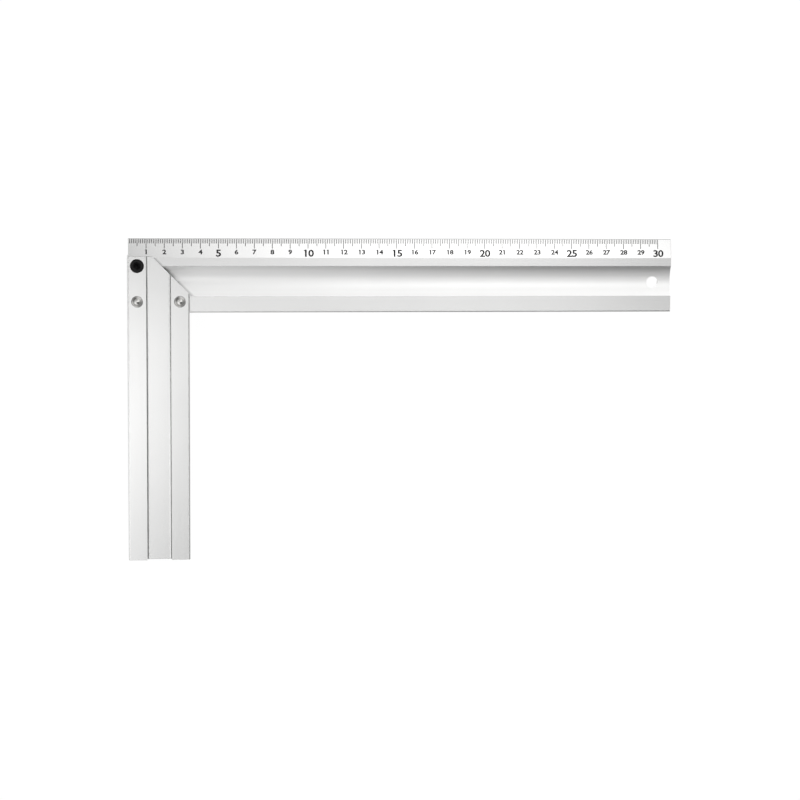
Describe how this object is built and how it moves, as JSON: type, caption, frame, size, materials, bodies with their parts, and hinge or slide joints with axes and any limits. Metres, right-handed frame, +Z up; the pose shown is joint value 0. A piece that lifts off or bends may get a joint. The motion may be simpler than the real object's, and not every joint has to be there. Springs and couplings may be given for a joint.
{
  "type": "carpenter square",
  "caption": "L-shaped carpenter square: extruded aluminium blade with a bevelled printed rule edge, riveted in the slotted end of a thicker stock, with an eccentric cam to true it.",
  "frame": {"origin": "bottom centre of the square's bounding box as it lies on its back", "axes": "+X along the blade away from the stock, +Y towards the rule edge, +Z up, out of the face with the rule"},
  "size_m": [0.3084, 0.1798, 0.018],
  "materials": {
    "blade_aluminium": "satin, fine grain along the blade",
    "stock_aluminium": "satin, fine grain along the stock",
    "turned_steel": "turned, concentric tool marks",
    "black_steel": "black oxide, low gloss",
    "spring_steel": "plain spring steel"
  },
  "bodies": {
    "stock": {"stock": "stock_aluminium", "pivot_rivet": "turned_steel", "clamp_rivet": "turned_steel"},
    "blade": {"blade": "blade_aluminium"},
    "adjuster": {"adjuster_cam": "black_steel", "adjuster_disc_spring": "spring_steel", "adjuster_retaining_ring": "spring_steel"}
  },
  "joints": [
    {"name": "blade_trim", "type": "hinge", "parent": "stock", "child": "blade", "pos_m": [-0.1488, 0.05527, 0.009], "axis": [0, 0, 1], "range_deg": [-0.3, 0.3]},
    {"name": "adjuster_turn", "type": "hinge", "parent": "stock", "child": "adjuster", "pos_m": [-0.1488, 0.07508, 0.009], "axis": [0, 0, 1], "range_deg": [-60, 60]}
  ],
  "couplings": [
    {"joint": "adjuster_turn", "follows": "blade_trim", "ratio": 200}
  ]
}
